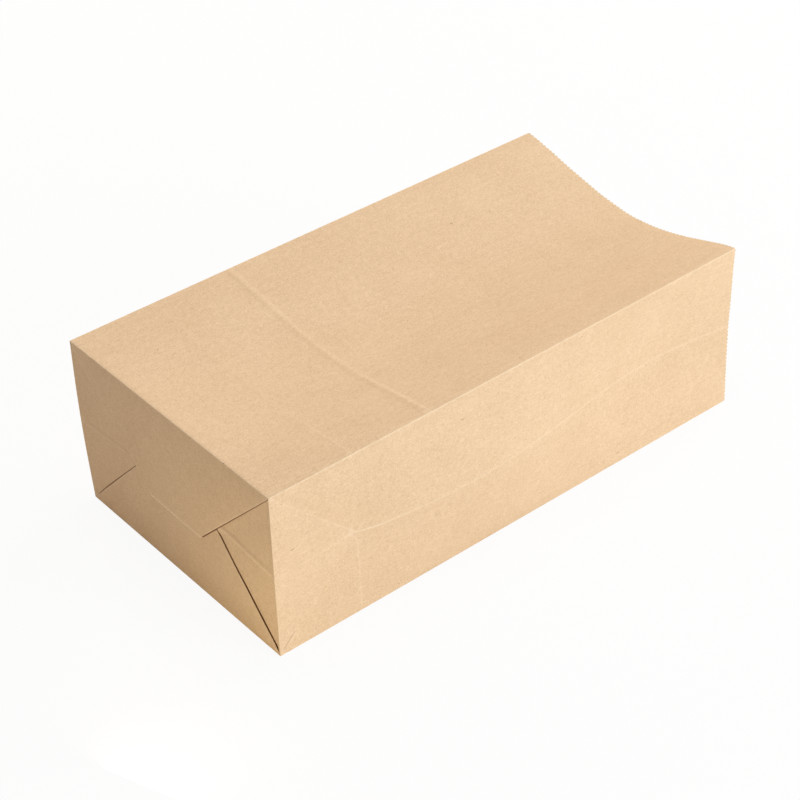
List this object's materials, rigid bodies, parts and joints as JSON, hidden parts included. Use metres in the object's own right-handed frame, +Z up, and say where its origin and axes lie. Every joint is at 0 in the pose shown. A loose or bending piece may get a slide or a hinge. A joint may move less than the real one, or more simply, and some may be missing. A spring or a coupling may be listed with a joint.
{
  "type": "paper lunch bag",
  "caption": "Brown kraft paper lunch bag with side gussets, a folded block bottom and a saw-tooth mouth, opened and lying on its back panel.",
  "frame": {"origin": "on the floor under the middle of the bag's box, as it lies on its back panel", "axes": "+X runs along the bag from the block bottom to the mouth, +Y across the wide panels, +Z up through the side gussets"},
  "size_m": [0.2464, 0.1396, 0.08],
  "materials": {
    "kraft_paper": "uncoated brown kraft, matt, with fine fibres and lighter fold edges"
  },
  "bodies": {
    "root": {"paper_bag": "kraft_paper"}
  },
  "joints": []
}
